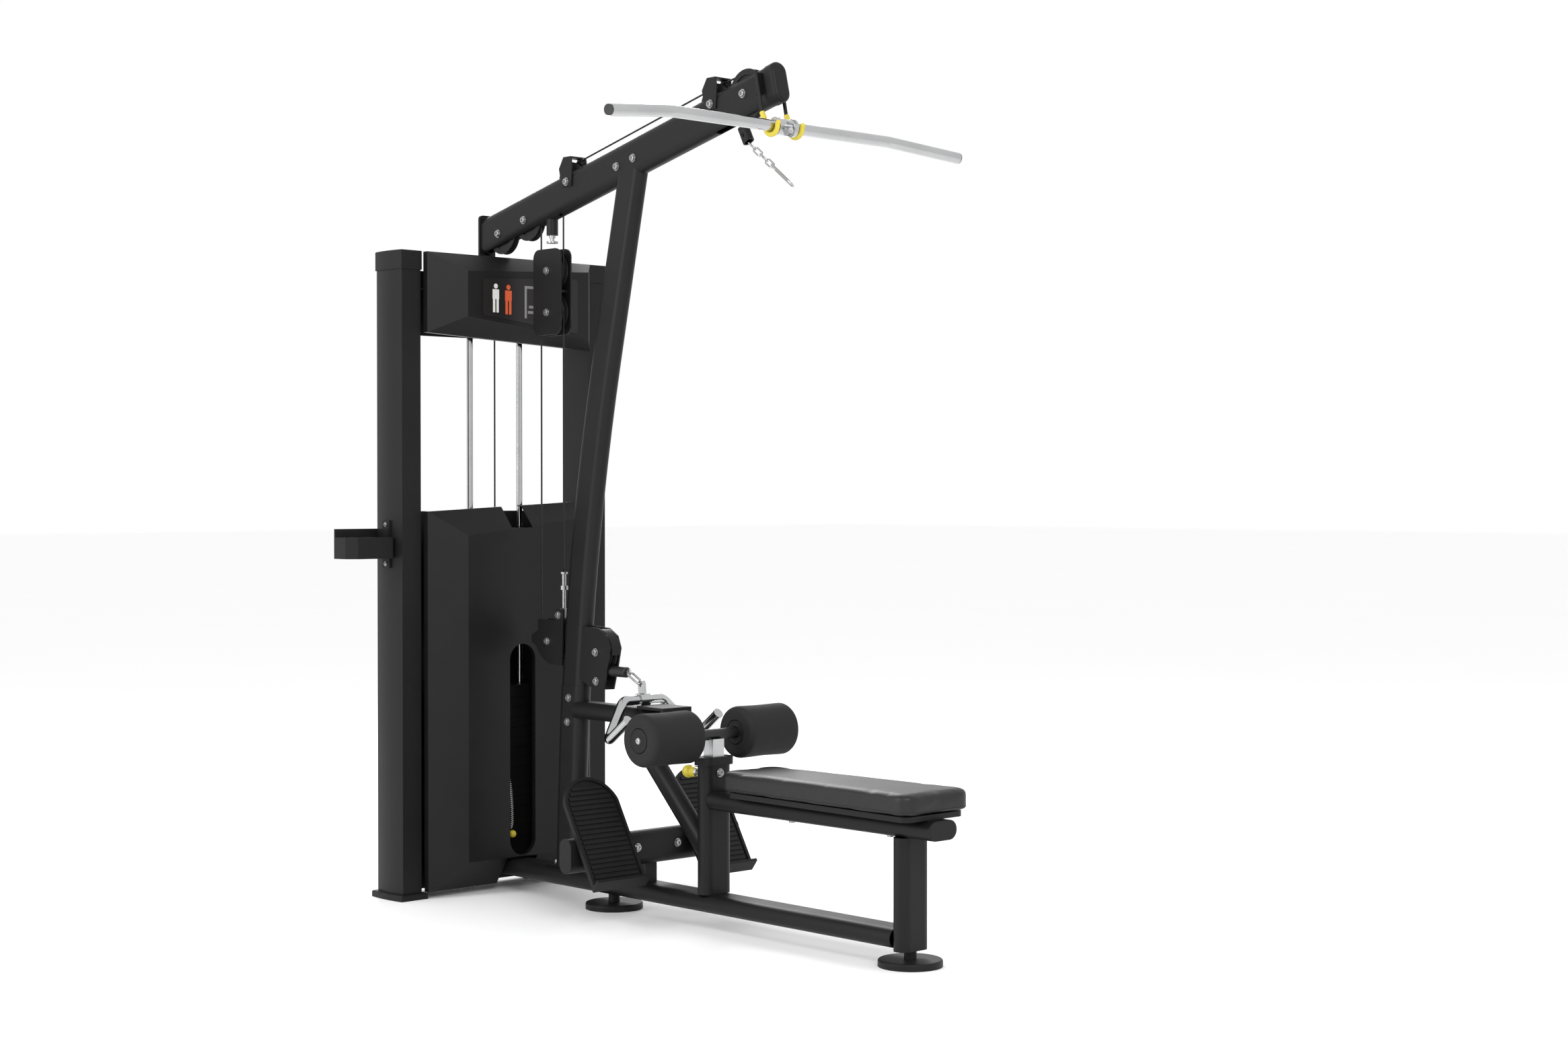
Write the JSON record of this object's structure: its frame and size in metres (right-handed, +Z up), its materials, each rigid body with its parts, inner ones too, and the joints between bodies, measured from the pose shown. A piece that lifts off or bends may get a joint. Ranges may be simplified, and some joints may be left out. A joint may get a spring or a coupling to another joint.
{
  "type": "lat pulldown machine",
  "caption": "cable pulldown and low row machine with a weight tower, mast and overhead boom, a bench seat, thigh rollers and foot plates",
  "frame": {"origin": "middle of the footprint, on the floor", "axes": "+X across the machine, +Y from the bench to the weight tower, +Z up"},
  "size_m": [1.2692, 1.923, 2.3206],
  "materials": {
    "black_powder_coat": "satin fine grain powder coat",
    "black_plastic": "matt moulded",
    "shroud_plastic": "fine moulded grain",
    "chrome": "polished",
    "bright_steel": "zinc plated",
    "stack_iron": "black enamel",
    "cable_cover": "nylon covered steel cable",
    "lanyard_plastic": "curly cord",
    "yellow_coat": "dipped",
    "yellow_plastic": "moulded",
    "pulley_nylon": "turned nylon",
    "black_vinyl": "embossed vinyl upholstery",
    "foam": "closed cell foam"
  },
  "bodies": {
    "frame": {"columns": "black_powder_coat", "column_end_caps": "black_plastic", "tower_beams": "black_powder_coat", "guide_rods": "chrome", "shroud_upper": "shroud_plastic", "shroud_lower": "shroud_plastic", "weight_plates_resting": "stack_iron", "boom": "black_powder_coat", "tube_end_caps": "black_plastic", "guide_guards": "black_powder_coat", "mast": "black_powder_coat", "pulley_axles": "bright_steel", "frame_bolts": "bright_steel", "low_brackets": "black_powder_coat", "cable_adjuster": "bright_steel", "cables_over_pulleys": "cable_cover", "bar_hooks": "black_powder_coat", "hook_coats": "yellow_coat", "base_rail": "black_powder_coat", "feet": "black_plastic", "seat_frame": "black_powder_coat", "seat_pad": "black_vinyl", "foot_crossbar": "black_powder_coat", "foot_plates": "black_plastic", "handle_shelf": "black_powder_coat", "accessory_holder": "black_plastic"},
    "stack": {"weight_plates_lifted": "stack_iron", "stack_head_plate": "stack_iron", "selector_rod": "bright_steel", "cable_stack_run": "cable_cover", "pin_lanyard": "lanyard_plastic"},
    "selector_pin": {"selector_pin": "bright_steel", "selector_knob": "yellow_plastic"},
    "pulley_rear": {"pulley_rear": "pulley_nylon"},
    "pulley_mid": {"pulley_mid": "pulley_nylon"},
    "pulley_guide_rear": {"pulley_guide_rear": "pulley_nylon"},
    "pulley_guide_front": {"pulley_guide_front": "pulley_nylon"},
    "pulley_front": {"pulley_front": "pulley_nylon"},
    "pulley_block_upper": {"pulley_block_upper": "pulley_nylon"},
    "pulley_block_lower": {"pulley_block_lower": "pulley_nylon"},
    "pulley_low_rear": {"pulley_low_rear": "pulley_nylon"},
    "pulley_low_front": {"pulley_low_front": "pulley_nylon"},
    "block": {"block_plates": "black_powder_coat", "block_bolts": "bright_steel", "cable_block_wraps": "cable_cover", "cable_upper_runs": "cable_cover", "cable_lower_runs": "cable_cover"},
    "lat_end": {"lat_stopper": "black_plastic", "cable_lat_run": "cable_cover"},
    "lat_chain": {"lat_chain": "chrome"},
    "lat_bar": {"lat_bar": "chrome"},
    "lat_bar_sleeve": {"lat_bar_sleeve": "chrome"},
    "row_end": {"row_cable_end": "chrome", "cable_row_run": "cable_cover"},
    "row_yoke": {"row_handle_yoke": "chrome"},
    "row_handle": {"row_handle": "chrome"},
    "roller_post": {"roller_post": "bright_steel"},
    "foam_roller_left": {"foam_roller_left": "foam"},
    "foam_roller_right": {"foam_roller_right": "foam"},
    "pop_pin": {"pop_pin": "yellow_plastic"}
  },
  "joints": [
    {"name": "stack_lift", "type": "slide", "parent": "frame", "child": "stack", "axis": [0, 0, 1], "range_m": [0, 0.9], "deforming": ["cable_stack_run"]},
    {"name": "pin_pull", "type": "slide", "parent": "stack", "child": "selector_pin", "axis": [0, -1, 0], "range_m": [0, 0.022]},
    {"name": "lat_pull", "type": "slide", "parent": "frame", "child": "lat_end", "axis": [0, 0, -1], "range_m": [0, 0.9], "deforming": ["cable_lat_run"]},
    {"name": "chain_swing", "type": "hinge", "parent": "lat_end", "child": "lat_chain", "pos_m": [0, -0.2525, 2.118], "axis": [1, 0, 0], "range_deg": [0, 75]},
    {"name": "bar_lift", "type": "slide", "parent": "frame", "child": "lat_bar", "axis": [0, 0, 1], "range_m": [0, 0.032]},
    {"name": "bar_sleeve_turn", "type": "hinge", "parent": "lat_bar", "child": "lat_bar_sleeve", "pos_m": [0, -0.3875, 2.146], "axis": [1, 0, 0], "range_deg": [-25, 160]},
    {"name": "row_pull", "type": "slide", "parent": "frame", "child": "row_end", "axis": [0, -0.866, 0.5], "range_m": [0, 0.6]},
    {"name": "row_yoke_swing", "type": "hinge", "parent": "row_end", "child": "row_yoke", "pos_m": [0, 0.1945, 0.645], "axis": [1, 0, 0], "range_deg": [-80, 15]},
    {"name": "row_handle_turn", "type": "hinge", "parent": "row_yoke", "child": "row_handle", "pos_m": [0, 0.1895, 0.603], "axis": [1, 0, 0], "range_deg": [-30, 30]},
    {"name": "block_drop", "type": "slide", "parent": "frame", "child": "block", "axis": [0, 0, -1], "range_m": [0, 0.3], "deforming": ["cable_upper_runs", "cable_lower_runs"]},
    {"name": "roller_height", "type": "slide", "parent": "frame", "child": "roller_post", "axis": [0, 0, 1], "range_m": [-0.04, 0.12]},
    {"name": "roller_spin_left", "type": "hinge", "parent": "roller_post", "child": "foam_roller_left", "pos_m": [0, -0.1065, 0.5265], "axis": [1, 0, 0], "continuous": true},
    {"name": "roller_spin_right", "type": "hinge", "parent": "roller_post", "child": "foam_roller_right", "pos_m": [0, -0.1065, 0.5265], "axis": [1, 0, 0], "continuous": true},
    {"name": "pop_pin_pull", "type": "slide", "parent": "frame", "child": "pop_pin", "axis": [0, 1, 0], "range_m": [0, 0.012], "stiffness_N_per_m": 400, "springref_m": -0.01},
    {"name": "pulley_rear_spin", "type": "hinge", "parent": "frame", "child": "pulley_rear", "pos_m": [0, 0.83, 1.959], "axis": [1, 0, 0], "range_deg": [0, 984]},
    {"name": "pulley_mid_spin", "type": "hinge", "parent": "frame", "child": "pulley_mid", "pos_m": [0, 0.7045, 1.9895], "axis": [1, 0, 0], "range_deg": [0, 984]},
    {"name": "pulley_block_upper_spin", "type": "hinge", "parent": "block", "child": "pulley_block_upper", "pos_m": [0, 0.5995, 1.833], "axis": [1, 0, 0], "range_deg": [-984, 0]},
    {"name": "pulley_guide_rear_spin", "type": "hinge", "parent": "frame", "child": "pulley_guide_rear", "pos_m": [0, 0.497, 2.083], "axis": [1, 0, 0], "range_deg": [0, 1033]},
    {"name": "pulley_guide_front_spin", "type": "hinge", "parent": "frame", "child": "pulley_guide_front", "pos_m": [0, -0.1285, 2.2337], "axis": [1, 0, 0], "range_deg": [0, 1033]},
    {"name": "pulley_front_spin", "type": "hinge", "parent": "frame", "child": "pulley_front", "pos_m": [0, -0.2545, 2.2473], "axis": [1, 0, 0], "range_deg": [0, 854]},
    {"name": "pulley_block_lower_spin", "type": "hinge", "parent": "block", "child": "pulley_block_lower", "pos_m": [0, 0.5995, 1.7116], "axis": [1, 0, 0], "range_deg": [-329, 0]},
    {"name": "pulley_low_rear_spin", "type": "hinge", "parent": "frame", "child": "pulley_low_rear", "pos_m": [0, 0.5995, 0.75], "axis": [1, 0, 0], "range_deg": [-657, 0]},
    {"name": "pulley_low_front_spin", "type": "hinge", "parent": "frame", "child": "pulley_low_front", "pos_m": [0, 0.3745, 0.728], "axis": [1, 0, 0], "range_deg": [-657, 0]}
  ],
  "couplings": [
    {"joint": "lat_pull", "follows": "stack_lift", "ratio": 1},
    {"joint": "block_drop", "follows": "row_pull", "ratio": 0.5},
    {"joint": "pulley_rear_spin", "follows": "stack_lift", "rad_per_m": 19.048},
    {"joint": "pulley_mid_spin", "follows": "stack_lift", "rad_per_m": 19.048},
    {"joint": "pulley_block_upper_spin", "follows": "stack_lift", "rad_per_m": -19.048},
    {"joint": "pulley_guide_rear_spin", "follows": "stack_lift", "rad_per_m": 20},
    {"joint": "pulley_guide_front_spin", "follows": "stack_lift", "rad_per_m": 20},
    {"joint": "pulley_front_spin", "follows": "stack_lift", "rad_per_m": 16.529},
    {"joint": "pulley_block_lower_spin", "follows": "row_pull", "rad_per_m": -9.5238},
    {"joint": "pulley_low_rear_spin", "follows": "row_pull", "rad_per_m": -19.048},
    {"joint": "pulley_low_front_spin", "follows": "row_pull", "rad_per_m": -19.048}
  ]
}
